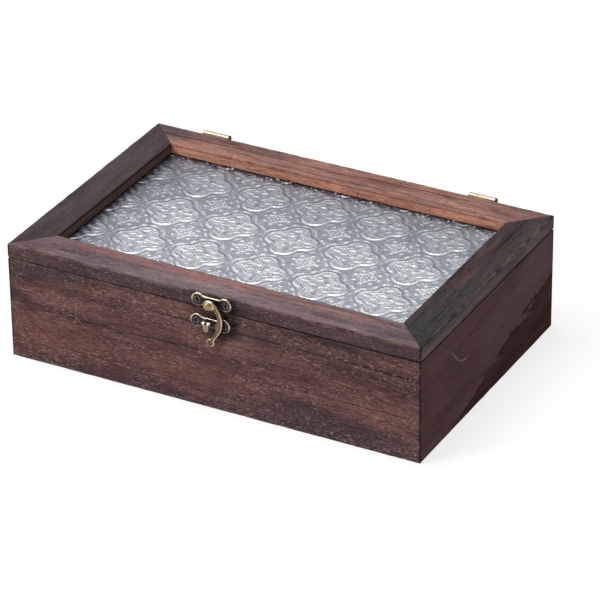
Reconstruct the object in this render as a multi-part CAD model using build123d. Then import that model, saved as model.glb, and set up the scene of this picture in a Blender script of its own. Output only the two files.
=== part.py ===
from build123d import *
import os

# Hinged wooden display box with a patterned-glass lid, a swing-hook latch in
# front and two small barrel hinges at the back.
# Millimetres. X runs along the long side, the front faces -Y and Z is up.
# The box stands on Z = 0.

os.makedirs("parts", exist_ok=True)

# ---------------------------------------------------------------- main sizes
box_length = 240.0
box_depth = 157.0
box_height = 67.0
lid_thickness = 8.0
seam_gap = 0.3
wall_thickness = 8.0
edge_break = 0.5

# bottom panel, let into a rabbet around the foot of the walls
panel_thickness = 3.0
panel_lap = 4.0
panel_play = 0.3

# lid frame and the glass held in a rabbet on its underside
rail_width = 19.5
glass_thickness = 2.4
glass_lap = 4.0
glass_play = 0.4
glass_depth = 5.6

# latch plates, screws and hook
plate_thickness = 0.8
plate_width = 23.2
plate_height = 7.7
plate_waist = 5.2
latch_x = 1.8
latch_z = 63.3
catch_x = 0.9
catch_z = 51.0
latch_screw_spacing = 16.4
latch_screw_head = 4.0
latch_screw_shank = 2.0
latch_screw_length = 6.5
pivot_x = 1.1
pivot_z = 62.3
hook_standoff = 1.5
hook_thickness = 1.3
pivot_shank = 2.6
pivot_play = 0.05
lug_x = 0.3
lug_top_z = 53.0
lug_width = 4.0
lug_lip_width = 3.0
lug_drop = 5.3
lug_metal = 0.7
lug_reach = 4.8

# hinges
hinge_left_x = -83.6
hinge_right_x = 77.8
hinge_length = 16.4
barrel_radius = 1.3
barrel_offset = 1.6
barrel_z = 66.7
leaf_thickness = 0.6
pin_radius = 0.62
pin_play = 0.06
pin_recess = 0.8
knuckle_gap = 0.15
centre_knuckle = 6.0
lid_leaf_foot = 59.9
body_leaf_foot = 50.5
crank_top = 60.4
crank_foot = 57.8
hinge_screw_head = 2.8
hinge_screw_shank = 1.4
hinge_screw_length = 5.0
hinge_screw_spacing = 10.4
lid_screw_z = 62.7
body_screw_z = 54.0

# ------------------------------------------------------------ derived planes
front = -box_depth / 2
back = box_depth / 2
left = -box_length / 2
right = box_length / 2
body_top = box_height - lid_thickness - seam_gap
lid_foot = box_height - lid_thickness
glass_top = box_height - glass_depth
hinge_y = back + barrel_offset
plate_front = front - plate_thickness
hook_back = plate_front - hook_standoff
hook_front = hook_back - hook_thickness


# ------------------------------------------------------------------- helpers
def long_board(side, width, foot, height):
    """Mitred board along X; side is -1 for the front and +1 for the back."""
    outer = side * box_depth / 2
    inner = outer - side * width
    outline = Polyline(
        (left, outer),
        (right, outer),
        (right - width, inner),
        (left + width, inner),
        close=True,
    )
    return Pos(0, 0, foot) * extrude(make_face(outline), height, dir=(0, 0, 1))


def short_board(side, width, foot, height):
    """Mitred board along Y; side is -1 for the left and +1 for the right."""
    outer = side * box_length / 2
    inner = outer - side * width
    outline = Polyline(
        (outer, front),
        (outer, back),
        (inner, back - width),
        (inner, front + width),
        close=True,
    )
    return Pos(0, 0, foot) * extrude(make_face(outline), height, dir=(0, 0, 1))


def block(x0, x1, y0, y1, z0, z1):
    """Box from its corner coordinates."""
    centre = Pos((x0 + x1) / 2, (y0 + y1) / 2, (z0 + z1) / 2)
    return centre * Box(abs(x1 - x0), abs(y1 - y0), abs(z1 - z0))


def rod_y(x, z, y0, y1, radius):
    """Round bar lying along Y."""
    middle = Pos(x, (y0 + y1) / 2, z)
    return middle * Rot(90, 0, 0) * Cylinder(radius, abs(y1 - y0))


def rod_x(x0, x1, y, z, radius):
    """Round bar lying along X."""
    middle = Pos((x0 + x1) / 2, y, z)
    return middle * Rot(0, 90, 0) * Cylinder(radius, abs(x1 - x0))


def plate_y(outline, y0, y1):
    """Flat piece drawn in X and Z, with its thickness between y0 and y1."""
    sheet = Plane.XZ * make_face(outline)
    solid = extrude(sheet, abs(y1 - y0), dir=(0, -1, 0))
    return Pos(0, max(y0, y1), 0) * solid


def break_outer_edges(board, side_axis, side, z_level):
    """Small chamfer on the outer horizontal arris of a board."""
    edges = [
        edge
        for edge in board.edges()
        if abs(edge.center().Z - z_level) < 0.01
        and abs(side_axis(edge.center()) - side) < 0.01
    ]
    return chamfer(edges, edge_break)


def y_of(point):
    return point.Y


def x_of(point):
    return point.X


# --------------------------------------------------------------- wood screws
def wood_screw(head, shank, length):
    """Countersunk cross-head screw, head flush with Z = 0, point towards -Z."""
    head_depth = (head - shank) / 2
    tip = shank
    profile = Polyline(
        (0, 0),
        (head / 2, 0),
        (head / 2, -0.15),
        (shank / 2, -0.15 - head_depth),
        (shank / 2, -length + tip),
        (0.2, -length),
        (0, -length),
        close=True,
    )
    body = revolve(Plane.XZ * make_face(profile), Axis.Z)
    arm = head * 0.6
    slot = head * 0.16
    recess = Box(arm, slot, 0.9) + Box(slot, arm, 0.9)
    return body - recess


def screw_hole(head, shank, length):
    """The space a screw takes in the wood or the plate."""
    head_depth = (head - shank) / 2
    profile = Polyline(
        (0, 0.4),
        (head / 2, 0.4),
        (head / 2, -0.15),
        (shank / 2, -0.15 - head_depth),
        (shank / 2, -length),
        (0, -length),
        close=True,
    )
    return revolve(Plane.XZ * make_face(profile), Axis.Z)


def front_screw(shape, x, z):
    """Turn a screw so that its head faces the front of the box."""
    return Pos(x, plate_front, z) * Rot(90, 0, 0) * shape


def back_screw(shape, x, z):
    """Turn a screw so that its head faces the back of the box."""
    return Pos(x, back + leaf_thickness, z) * Rot(-90, 0, 0) * shape


latch_screw = wood_screw(latch_screw_head, latch_screw_shank, latch_screw_length)
latch_bore = screw_hole(latch_screw_head, latch_screw_shank, latch_screw_length)
hinge_screw = wood_screw(hinge_screw_head, hinge_screw_shank, hinge_screw_length)
hinge_bore = screw_hole(hinge_screw_head, hinge_screw_shank, hinge_screw_length)


def screw_pair(centre):
    """X positions of the two screws of a latch plate."""
    return [centre - latch_screw_spacing / 2, centre + latch_screw_spacing / 2]


latch_screw_x = screw_pair(latch_x)
catch_screw_x = screw_pair(catch_x)
hinge_x = [hinge_left_x, hinge_right_x]
hinge_screw_x = []
for centre in hinge_x:
    hinge_screw_x.append(centre - hinge_screw_spacing / 2)
    hinge_screw_x.append(centre + hinge_screw_spacing / 2)

latch_plate_screws = [front_screw(latch_screw, x, latch_z) for x in latch_screw_x]
latch_plate_bores = [front_screw(latch_bore, x, latch_z) for x in latch_screw_x]
catch_plate_screws = [front_screw(latch_screw, x, catch_z) for x in catch_screw_x]
catch_plate_bores = [front_screw(latch_bore, x, catch_z) for x in catch_screw_x]
hinge_lid_screws = [back_screw(hinge_screw, x, lid_screw_z) for x in hinge_screw_x]
hinge_lid_bores = [back_screw(hinge_bore, x, lid_screw_z) for x in hinge_screw_x]
hinge_body_screws = [back_screw(hinge_screw, x, body_screw_z) for x in hinge_screw_x]
hinge_body_bores = [back_screw(hinge_bore, x, body_screw_z) for x in hinge_screw_x]


# ----------------------------------------------------------------- box walls
panel_space = block(
    left + wall_thickness - panel_lap,
    right - wall_thickness + panel_lap,
    front + wall_thickness - panel_lap,
    back - wall_thickness + panel_lap,
    -1,
    panel_thickness,
)


def long_wall(side):
    """Front or back wall with the rabbet for the bottom panel."""
    wall = long_board(side, wall_thickness, 0, body_top)
    outer = side * box_depth / 2
    wall = break_outer_edges(wall, y_of, outer, body_top)
    wall = break_outer_edges(wall, y_of, outer, 0)
    return wall - panel_space


def short_wall(side):
    """Left or right wall with the rabbet for the bottom panel."""
    wall = short_board(side, wall_thickness, 0, body_top)
    outer = side * box_length / 2
    wall = break_outer_edges(wall, x_of, outer, body_top)
    wall = break_outer_edges(wall, x_of, outer, 0)
    return wall - panel_space


front_wall = long_wall(-1)
for bore in catch_plate_bores:
    front_wall = front_wall - bore

back_wall = long_wall(1)
for bore in hinge_body_bores:
    back_wall = back_wall - bore

left_wall = short_wall(-1)
right_wall = short_wall(1)

bottom_panel = block(
    left + wall_thickness - panel_lap + panel_play,
    right - wall_thickness + panel_lap - panel_play,
    front + wall_thickness - panel_lap + panel_play,
    back - wall_thickness + panel_lap - panel_play,
    0,
    panel_thickness,
)

# ----------------------------------------------------------------- lid frame
glass_space = block(
    left + rail_width - glass_lap,
    right - rail_width + glass_lap,
    front + rail_width - glass_lap,
    back - rail_width + glass_lap,
    lid_foot - 1,
    glass_top,
)


def long_rail(side):
    """Front or back rail of the lid frame, rabbeted for the glass."""
    rail = long_board(side, rail_width, lid_foot, lid_thickness)
    outer = side * box_depth / 2
    rail = break_outer_edges(rail, y_of, outer, box_height)
    rail = break_outer_edges(rail, y_of, outer, lid_foot)
    return rail - glass_space


def short_rail(side):
    """Left or right rail of the lid frame, rabbeted for the glass."""
    rail = short_board(side, rail_width, lid_foot, lid_thickness)
    outer = side * box_length / 2
    rail = break_outer_edges(rail, x_of, outer, box_height)
    rail = break_outer_edges(rail, x_of, outer, lid_foot)
    return rail - glass_space


lid_front_rail = long_rail(-1)
for bore in latch_plate_bores:
    lid_front_rail = lid_front_rail - bore
# pocket behind the latch plate for the peened end of the pivot rivet
lid_front_rail = lid_front_rail - rod_y(pivot_x, pivot_z, front - 1, front + 0.8, 2.4)

lid_back_rail = long_rail(1)
for bore in hinge_lid_bores:
    lid_back_rail = lid_back_rail - bore

lid_left_rail = short_rail(-1)
lid_right_rail = short_rail(1)

glass_pane = block(
    left + rail_width - glass_lap + glass_play,
    right - rail_width + glass_lap - glass_play,
    front + rail_width - glass_lap + glass_play,
    back - rail_width + glass_lap - glass_play,
    glass_top - glass_thickness,
    glass_top,
)


# -------------------------------------------------------------- latch plates
def two_lobe_plate(centre_x, centre_z):
    """Stamped plate with a round lobe at each screw and a narrower middle."""
    lobe = plate_height / 2
    reach = plate_width / 2 - lobe
    plate = block(
        centre_x - reach,
        centre_x + reach,
        front,
        plate_front,
        centre_z - plate_waist / 2,
        centre_z + plate_waist / 2,
    )
    for side in (-1, 1):
        lobe_x = centre_x + side * reach
        plate = plate + rod_y(lobe_x, centre_z, front, plate_front, lobe)
    return plate


latch_plate = two_lobe_plate(latch_x, latch_z)
for bore in latch_plate_bores:
    latch_plate = latch_plate - bore
latch_plate = latch_plate - rod_y(pivot_x, pivot_z, front + 1, plate_front - 1, pivot_shank / 2)

catch_plate = two_lobe_plate(catch_x, catch_z)
for bore in catch_plate_bores:
    catch_plate = catch_plate - bore

# lug: a tongue of the plate bent outwards as a shelf, then down as a lip
lug_front = front - lug_reach
lug_back = lug_front + lug_metal
lug_round_z = lug_top_z - lug_drop + lug_lip_width / 2
lug_shelf = block(
    lug_x - lug_width / 2,
    lug_x + lug_width / 2,
    plate_front + 0.2,
    lug_front,
    lug_top_z - lug_metal,
    lug_top_z,
)
lug_lip = block(
    lug_x - lug_lip_width / 2,
    lug_x + lug_lip_width / 2,
    lug_back,
    lug_front,
    lug_round_z,
    lug_top_z,
)
lug_tip = rod_y(lug_x, lug_round_z, lug_back, lug_front, lug_lip_width / 2)
catch_plate = catch_plate + lug_shelf + lug_lip + lug_tip

# ------------------------------------------------------------- pivot rivet
tail = rod_y(pivot_x, pivot_z, front, plate_front, pivot_shank / 2)
peened_end = rod_y(pivot_x, pivot_z, front + 0.5, front, 2.0)
shoulder = rod_y(pivot_x, pivot_z, plate_front, hook_back + 0.1, 2.2)
shank = rod_y(pivot_x, pivot_z, plate_front, hook_front - 0.1, pivot_shank / 2)
dome_radius = 3.0
dome_sink = dome_radius - 1.5
dome_ball = Pos(pivot_x, hook_front - 0.1 + dome_sink, pivot_z) * Sphere(dome_radius)
dome_keep = block(
    pivot_x - 4,
    pivot_x + 4,
    hook_front - 0.1,
    hook_front - 4,
    pivot_z - 4,
    pivot_z + 4,
)
latch_rivet = tail + peened_end + shoulder + shank + (dome_ball & dome_keep)


# -------------------------------------------------------------- swing hook
def at_pivot(across, down):
    """Point given from the pivot: across to the right, down towards the foot."""
    return (pivot_x + across, pivot_z - down)


# outer edge of the crescent arm, then the neck, the beak and the inner edge
outer_edge = Spline(
    at_pivot(1.2, -2.7),
    at_pivot(4.6, -1.4),
    at_pivot(6.9, 2.2),
    at_pivot(7.8, 7.3),
    at_pivot(7.2, 12.2),
    at_pivot(5.3, 16.3),
    at_pivot(2.6, 20.1),
)
neck_edge = Spline(
    at_pivot(0.7, 19.6),
    at_pivot(3.3, 16.6),
    at_pivot(5.0, 12.7),
)
beak_under = Spline(
    at_pivot(5.0, 12.7),
    at_pivot(3.2, 11.9),
    at_pivot(0.8, 11.3),
)
beak_top = Spline(
    at_pivot(0.8, 10.7),
    at_pivot(3.2, 10.3),
    at_pivot(5.6, 8.7),
)
inner_edge = Spline(
    at_pivot(5.6, 8.7),
    at_pivot(6.2, 6.0),
    at_pivot(5.2, 3.0),
    at_pivot(2.0, 1.4),
)
crescent = Wire(
    [
        outer_edge.edge(),
        Line(at_pivot(2.6, 20.1), at_pivot(0.7, 19.6)).edge(),
        neck_edge.edge(),
        beak_under.edge(),
        Line(at_pivot(0.8, 11.3), at_pivot(0.8, 10.7)).edge(),
        beak_top.edge(),
        inner_edge.edge(),
        Line(at_pivot(2.0, 1.4), at_pivot(1.2, -2.7)).edge(),
    ]
)
arm = plate_y(crescent, hook_back, hook_front)
eye = rod_y(pivot_x, pivot_z, hook_back, hook_front, 2.9)
knob_x, knob_z = at_pivot(1.0, 21.4)
knob = rod_y(knob_x, knob_z, hook_back, hook_front, 2.1)
pivot_hole = rod_y(
    pivot_x,
    pivot_z,
    hook_back + 1,
    hook_front - 1,
    pivot_shank / 2 + pivot_play,
)
latch_hook = arm + eye + knob - pivot_hole


# ------------------------------------------------------------------- hinges
def knuckle(x0, x1):
    return rod_x(x0, x1, hinge_y, barrel_z, barrel_radius)


def lid_leaf(centre):
    """Flat leaf on the back of the lid, carrying the middle knuckle."""
    half = hinge_length / 2
    mid = centre_knuckle / 2
    inner = back
    outer = back + leaf_thickness
    notch_z = barrel_z - barrel_radius - 0.35
    leaf = block(centre - half, centre + half, inner, outer, lid_leaf_foot, notch_z)
    tongue = block(centre - mid, centre + mid, inner, outer, notch_z, barrel_z)
    tongue = tongue + block(
        centre - mid,
        centre + mid,
        inner,
        hinge_y,
        barrel_z - barrel_radius,
        barrel_z - barrel_radius + leaf_thickness,
    )
    leaf = leaf + tongue + knuckle(centre - mid, centre + mid)
    leaf = leaf - rod_x(
        centre - mid - 1,
        centre + mid + 1,
        hinge_y,
        barrel_z,
        pin_radius + pin_play,
    )
    for bore in hinge_lid_bores:
        leaf = leaf - bore
    return leaf


def body_leaf(centre):
    """Cranked leaf: down past the lid, stepped in and flat on the back wall."""
    half = hinge_length / 2
    mid = centre_knuckle / 2 + knuckle_gap
    far = hinge_y + barrel_radius
    near = far - leaf_thickness
    outline = Polyline(
        (near, barrel_z - barrel_radius + 0.2),
        (far, barrel_z),
        (far, crank_top),
        (back + leaf_thickness, crank_foot),
        (back + leaf_thickness, body_leaf_foot),
        (back, body_leaf_foot),
        (back, crank_foot + 0.3),
        (near, crank_top + 0.3),
        close=True,
    )
    side = extrude(Plane.YZ * make_face(outline), hinge_length, dir=(1, 0, 0))
    leaf = Pos(centre - half, 0, 0) * side
    window = block(
        centre - mid,
        centre + mid,
        back,
        far + 1,
        barrel_z - barrel_radius - 0.35,
        barrel_z + barrel_radius + 1,
    )
    leaf = leaf - window
    for side_x in (centre - half, centre + mid):
        ring = knuckle(side_x, side_x + half - mid)
        leaf = leaf + ring
    leaf = leaf - rod_x(
        centre - half - 1,
        centre + half + 1,
        hinge_y,
        barrel_z,
        pin_radius,
    )
    for bore in hinge_body_bores:
        leaf = leaf - bore
    return leaf


def hinge_pin(centre):
    """Plain pin, a little shorter than the barrel so both ends look hollow."""
    half = hinge_length / 2 - pin_recess
    return rod_x(centre - half, centre + half, hinge_y, barrel_z, pin_radius)


# ------------------------------------------------------------------- export
export_step(front_wall, "parts/front_wall.step")
export_step(back_wall, "parts/back_wall.step")
export_step(left_wall, "parts/left_wall.step")
export_step(right_wall, "parts/right_wall.step")
export_step(bottom_panel, "parts/bottom_panel.step")
export_step(catch_plate, "parts/catch_plate.step")
export_step(Compound(children=catch_plate_screws), "parts/catch_plate_screws.step")
export_step(body_leaf(hinge_left_x), "parts/hinge_left_body_leaf.step")
export_step(body_leaf(hinge_right_x), "parts/hinge_right_body_leaf.step")
export_step(hinge_pin(hinge_left_x), "parts/hinge_left_pin.step")
export_step(hinge_pin(hinge_right_x), "parts/hinge_right_pin.step")
export_step(Compound(children=hinge_body_screws), "parts/hinge_body_screws.step")

export_step(lid_front_rail, "parts/lid_front_rail.step")
export_step(lid_back_rail, "parts/lid_back_rail.step")
export_step(lid_left_rail, "parts/lid_left_rail.step")
export_step(lid_right_rail, "parts/lid_right_rail.step")
export_step(glass_pane, "parts/glass_pane.step")
export_step(latch_plate, "parts/latch_plate.step")
export_step(latch_rivet, "parts/latch_rivet.step")
export_step(Compound(children=latch_plate_screws), "parts/latch_plate_screws.step")
export_step(lid_leaf(hinge_left_x), "parts/hinge_left_lid_leaf.step")
export_step(lid_leaf(hinge_right_x), "parts/hinge_right_lid_leaf.step")
export_step(Compound(children=hinge_lid_screws), "parts/hinge_lid_screws.step")

export_step(latch_hook, "parts/latch_hook.step")
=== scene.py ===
import math
import bpy
import numpy as np
from mathutils import Matrix, Vector, noise


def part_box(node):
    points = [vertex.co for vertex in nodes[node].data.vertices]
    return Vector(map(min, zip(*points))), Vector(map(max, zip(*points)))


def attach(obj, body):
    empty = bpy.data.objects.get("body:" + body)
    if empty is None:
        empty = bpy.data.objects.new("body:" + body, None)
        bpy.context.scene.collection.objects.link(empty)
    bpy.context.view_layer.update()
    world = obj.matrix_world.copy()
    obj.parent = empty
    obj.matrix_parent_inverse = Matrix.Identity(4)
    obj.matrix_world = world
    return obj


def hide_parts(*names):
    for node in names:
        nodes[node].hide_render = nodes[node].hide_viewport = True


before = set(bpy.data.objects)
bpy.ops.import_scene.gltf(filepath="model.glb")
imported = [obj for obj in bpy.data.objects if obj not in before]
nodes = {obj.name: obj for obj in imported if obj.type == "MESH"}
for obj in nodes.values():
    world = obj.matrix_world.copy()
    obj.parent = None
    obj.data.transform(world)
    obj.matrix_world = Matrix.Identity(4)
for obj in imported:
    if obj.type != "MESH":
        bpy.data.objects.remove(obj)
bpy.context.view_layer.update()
MM = 0.001


# ------------------------------------------------------------ sizes from CAD
def box_mm(node):
    low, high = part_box(node)
    return np.array(low) * 1000.0, np.array(high) * 1000.0


wall_low, wall_high = box_mm("front_wall")
rail_low, rail_high = box_mm("lid_front_rail")
side_high = box_mm("lid_right_rail")[1]
glass_low, glass_high = box_mm("glass_pane")
plate_low, plate_high = box_mm("latch_plate")
catch_low, catch_high = box_mm("catch_plate")
hook_low, hook_high = box_mm("latch_hook")
rivet_low, rivet_high = box_mm("latch_rivet")

HALF_X = rail_high[0]
HALF_Y = side_high[1]
LID_FOOT = rail_low[2]
LID_TOP = rail_high[2]
BODY_TOP = wall_high[2]
RAIL_W = rail_high[1] - rail_low[1]
WALL_T = wall_high[1] - wall_low[1]
GLASS_TOP = glass_high[2]
FRONT = -HALF_Y
SEAM_Z = (BODY_TOP + LID_FOOT) / 2
RABBET = 4.0        # width of the step cut into rails and walls
PANEL_TOP = 3.0     # upper face of the bottom panel


# ------------------------------------------------------------- mesh helpers
def srgb(r, g, b):
    out = []
    for c in (r, g, b):
        c = c / 255.0
        out.append(c / 12.92 if c <= 0.04045 else ((c + 0.055) / 1.055) ** 2.4)
    return (out[0], out[1], out[2], 1.0)


def new_mesh(name, verts_mm, faces, wear_and_light=None, smooth_angle=35.0):
    """Mesh object from points in millimetres, with a point attribute for wear and painted light."""
    mesh = bpy.data.meshes.new(name)
    pts = (np.asarray(verts_mm, float) * MM).tolist()
    mesh.from_pydata(pts, [], faces)
    mesh.validate()
    if wear_and_light is not None:
        layer = mesh.attributes.new("wear_and_light", "FLOAT", "POINT")
        layer.data.foreach_set("value", np.asarray(wear_and_light, np.float32))
    mesh.polygons.foreach_set("use_smooth", [True] * len(mesh.polygons))
    mesh.update()
    mesh.set_sharp_from_angle(angle=math.radians(smooth_angle))
    obj = bpy.data.objects.new(name, mesh)
    bpy.context.scene.collection.objects.link(obj)
    return obj


def value_noise(x, y, z, seed):
    return noise.noise(Vector((x + 13.7 * seed, y - 7.1 * seed, z + 3.3 * seed)))


# ---------------------------------------------------------- wooden boards
ARC_POINTS = 5      # points round one rounded arris
WEAR_FADE = 1.1     # distance over which rubbing fades out beside an arris
MITRE_GAP = 0.05    # half the gap left between two mitred ends
STATION = 1.4       # distance between cross-sections along a board


def round_profile(corners):
    """Closed profile with rounded corners.

    corners: (u, z, radius, wear). Returns points with wear and the direction
    in which a chip or rubbed spot moves the surface.
    """
    out = []
    count = len(corners)
    for i, (u, z, radius, wear_and_light) in enumerate(corners):
        here = np.array([u, z])
        before = np.array(corners[i - 1][:2])
        after = np.array(corners[(i + 1) % count][:2])
        d_in = (before - here) / np.linalg.norm(before - here)
        d_out = (after - here) / np.linalg.norm(after - here)
        inward = (d_in + d_out) / np.linalg.norm(d_in + d_out)
        fade = radius + WEAR_FADE
        room_in = np.linalg.norm(before - here)
        room_out = np.linalg.norm(after - here)
        if fade < room_in * 0.45:
            out.append((here + d_in * fade, 0.0, inward, 0.0))
        for step in range(ARC_POINTS):
            t = step / (ARC_POINTS - 1)
            a = here + d_in * radius * (1 - t)
            b = here + d_out * radius * t
            point = a * (1 - t) + b * t
            out.append((point, wear_and_light, inward, 1.0 - abs(t - 0.5)))
        if fade < room_out * 0.45:
            out.append((here + d_out * fade, 0.0, inward, 0.0))
    return out


def board(name, run, side, corners, seed):
    """Mitred board swept along X or Y, with rubbed and chipped arrises."""
    profile = round_profile(corners)
    half = HALF_X if run == "x" else HALF_Y
    outer = HALF_Y if run == "x" else HALF_X
    stations = int(2 * half / STATION)
    ring = len(profile)
    verts = []
    wear_out = []
    for s in range(stations + 1):
        t = s / stations
        for point, wear_and_light, inward, share in profile:
            u, z = point
            reach = half - max(u, 0.0) - MITRE_GAP
            along = -reach + 2 * reach * t
            amount = 0.0
            if wear_and_light > 0:
                ripple = value_noise(along * 0.16, z * 0.2, u * 0.2, seed)
                nick = value_noise(along * 0.45, z * 0.3, u * 0.3, seed + 5)
                chip = max(0.0, nick - 0.38) * 1.3
                amount = max(0.0, wear_and_light * share * (0.10 + 0.16 * ripple + chip))
            u2 = u + inward[0] * amount
            z2 = z + inward[1] * amount
            place = side * (outer - u2)
            if run == "x":
                verts.append((along, place, z2))
            else:
                verts.append((place, along, z2))
            wear_out.append(min(1.0, wear_and_light * (0.35 + 0.65 * share)))
    faces = []
    flip = (side > 0) == (run == "x")
    for s in range(stations):
        for p in range(ring):
            q = (p + 1) % ring
            a = s * ring + p
            b = s * ring + q
            c = (s + 1) * ring + q
            d = (s + 1) * ring + p
            faces.append((a, b, c, d) if flip else (d, c, b, a))
    first = list(range(ring))
    last = [stations * ring + p for p in range(ring)]
    faces.append(tuple(reversed(first)) if flip else tuple(first))
    faces.append(tuple(last) if flip else tuple(reversed(last)))
    return new_mesh(name, verts, faces, wear_out)


def rail_corners():
    """Profile of a lid rail: distance from the outer face, height, radius, wear."""
    ledge = RAIL_W - RABBET
    return [
        (0.0, LID_FOOT, 0.35, 0.7),
        (0.0, LID_TOP, 0.75, 1.0),
        (RAIL_W, LID_TOP, 0.45, 0.8),
        (RAIL_W, GLASS_TOP, 0.15, 0.2),
        (ledge, GLASS_TOP, 0.1, 0.0),
        (ledge, LID_FOOT, 0.2, 0.2),
    ]


def wall_corners():
    """Profile of a wall, with the rabbet for the bottom panel at its foot."""
    lap = WALL_T - RABBET
    return [
        (0.0, 0.0, 0.5, 0.9),
        (0.0, BODY_TOP, 0.5, 0.8),
        (WALL_T, BODY_TOP, 0.4, 0.5),
        (WALL_T, PANEL_TOP, 0.1, 0.0),
        (lap, PANEL_TOP, 0.1, 0.0),
        (lap, 0.0, 0.2, 0.2),
    ]


# ------------------------------------------------------------ node materials
class Nodes:
    """Short way to write a material's node tree."""

    def __init__(self, name):
        self.mat = bpy.data.materials.new(name)
        self.mat.use_nodes = True
        self.tree = self.mat.node_tree
        self.tree.nodes.clear()
        self.bsdf = self.new("BsdfPrincipled")
        self.feed(self.new("OutputMaterial").inputs["Surface"], self.bsdf.outputs[0])
        # place on the object, in millimetres
        place = self.new("TexCoord").outputs["Object"]
        self.p = self.vec("MULTIPLY", place, (1000.0, 1000.0, 1000.0))

    def new(self, kind):
        return self.tree.nodes.new("ShaderNode" + kind)

    def feed(self, socket, value):
        """Link an input to a socket, or set it to a constant."""
        if isinstance(value, bpy.types.NodeSocket):
            self.tree.links.new(value, socket)
        else:
            socket.default_value = value

    def math(self, op, a, b=0.0):
        n = self.new("Math")
        n.operation = op
        self.feed(n.inputs[0], a)
        self.feed(n.inputs[1], b)
        return n.outputs[0]

    def plus(self, a, b):
        return self.math("ADD", a, b)

    def minus(self, a, b):
        return self.math("SUBTRACT", a, b)

    def times(self, a, b):
        return self.math("MULTIPLY", a, b)

    def put(self, name, value):
        """Set or link one input of the shader."""
        self.feed(self.bsdf.inputs[name], value)

    def away(self, value, place):
        """Distance of a value from a place on the same axis."""
        return self.math("ABSOLUTE", self.minus(value, place))

    def centred(self, value, amount):
        """A noise value moved to swing round zero, times an amount."""
        return self.times(self.minus(value, 0.5), amount)

    def vec(self, op, a, b=(0.0, 0.0, 0.0)):
        n = self.new("VectorMath")
        n.operation = op
        self.feed(n.inputs[0], a)
        self.feed(n.inputs[1], b)
        return n.outputs["Value"] if op in ("LENGTH", "DOT_PRODUCT") else n.outputs[0]

    def xyz(self, vector):
        """The three coordinates of a vector, by the name of their axis."""
        n = self.new("SeparateXYZ")
        self.feed(n.inputs[0], vector)
        return dict(zip("xyz", n.outputs))

    def noise(self, vector, detail, rough, color=False):
        n = self.new("TexNoise")
        n.inputs["Scale"].default_value = 1.0
        n.inputs["Detail"].default_value = detail
        n.inputs["Roughness"].default_value = rough
        self.feed(n.inputs["Vector"], vector)
        return n.outputs["Color"] if color else n.outputs[0]

    def range(self, value, a, b, c=0.0, d=1.0, smooth=True):
        """Maps a..b to c..d, held constant outside."""
        n = self.new("MapRange")
        n.interpolation_type = "SMOOTHSTEP" if smooth else "LINEAR"
        self.feed(n.inputs["Value"], value)
        n.inputs["From Min"].default_value = a
        n.inputs["From Max"].default_value = b
        n.inputs["To Min"].default_value = c
        n.inputs["To Max"].default_value = d
        return n.outputs[0]

    def ramp(self, value, stops):
        n = self.new("ValToRGB")
        ramp = n.color_ramp
        while len(ramp.elements) < len(stops):
            ramp.elements.new(0.5)
        for element, (pos, color) in zip(ramp.elements, stops):
            element.position = pos
            element.color = color
        self.feed(n.inputs[0], value)
        return n.outputs[0]

    def mix(self, fac, a, b, mode="MIX"):
        n = self.new("Mix")
        n.data_type = "RGBA"
        n.blend_type = mode
        self.feed(n.inputs[0], fac)
        self.feed(n.inputs[6], a)
        self.feed(n.inputs[7], b)
        return n.outputs[2]

    def attr(self, name):
        n = self.new("Attribute")
        n.attribute_name = name
        return n.outputs["Fac"]

    def bump(self, height, strength, distance):
        n = self.new("Bump")
        n.inputs["Strength"].default_value = strength
        n.inputs["Distance"].default_value = distance
        self.feed(n.inputs["Height"], height)
        return n.outputs[0]

    def stretched(self, axis, along, across, seed):
        """Coordinates stretched along the grain, sizes in millimetres."""
        k = [1.0 / across] * 3
        k["xyz".index(axis)] = 1.0 / along
        scaled = self.vec("MULTIPLY", self.p, tuple(k))
        return self.vec("ADD", scaled, (seed * 3.17, seed * 5.71, seed * 1.93))


BLACK = (0.007, 0.005, 0.005, 1)
SPECK_TONE = (188, 152, 142)
SCRATCH_TONE = (150, 132, 132)
RUB_SHARE = 0.35        # strength of the rubbed light spots on the arrises
BURN_SHARE = 0.6        # strength of the dark spots on the arrises
PORE_DEPTH = 0.16       # millimetres


def tint_faces(m, base, cloud, place_of, skins):
    """Give single flat faces of a board a colour of their own, with its cloudy grain; on the inner face
    of the lid's back rail the colour is painted light.
    """
    for side, place, color, share in skins:
        on_face = m.range(m.away(place_of[side], place), 1.0, 0.45, 0.0, share)
        clouded = m.ramp(cloud, [
            (0.28, (0.66, 0.66, 0.66, 1)),
            (0.74, (1.3, 1.3, 1.3, 1)),
        ])
        tone = m.mix(1.0, clouded, srgb(*color), "MULTIPLY")
        base = m.mix(on_face, base, tone)
    return base


def tint_zones(m, base, cloud, raw, zones):
    """Tint soft regions with ragged edges."""
    for middle, size, color, share in zones:
        offset = m.vec("SUBTRACT", raw, tuple(middle))
        offset = m.vec("MULTIPLY", offset, tuple(1.0 / s for s in size))
        ragged = m.plus(m.vec("LENGTH", offset), m.centred(cloud, 1.1))
        base = m.mix(m.range(ragged, 1.15, 0.35, 0.0, share), base, srgb(*color))
    return base


def paint_reflection_edge(m, base, hue, along, height, wedge):
    """Darken everything below a slanted line with a ragged edge: the lower end of a painted reflection
    that leaves the wood above the line lighter.
    """
    start, slope, color, share = wedge
    line = m.times(m.minus(along, start), slope)
    line = m.plus(line, m.centred(hue, 26.0))
    under = m.range(m.minus(line, height), -0.6, 1.2, 0.0, share)
    return m.mix(under, base, srgb(*color))


def growth_lines(m, axis, seed, tight, cloud):
    """Strength of the long dark lines: many thin ones and a few broad ones."""
    rings = m.noise(m.stretched(axis, 150.0, 5.2 * tight, seed + 2), 3.0, 0.5)
    thin = m.range(m.away(rings, 0.5), 0.028, 0.006)
    thin = m.times(thin, m.range(cloud, 0.3, 0.55, 1.0, 0.35))
    broad = m.times(m.range(rings, 0.40, 0.32), 0.8)
    return m.math("MAXIMUM", thin, broad)


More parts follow.
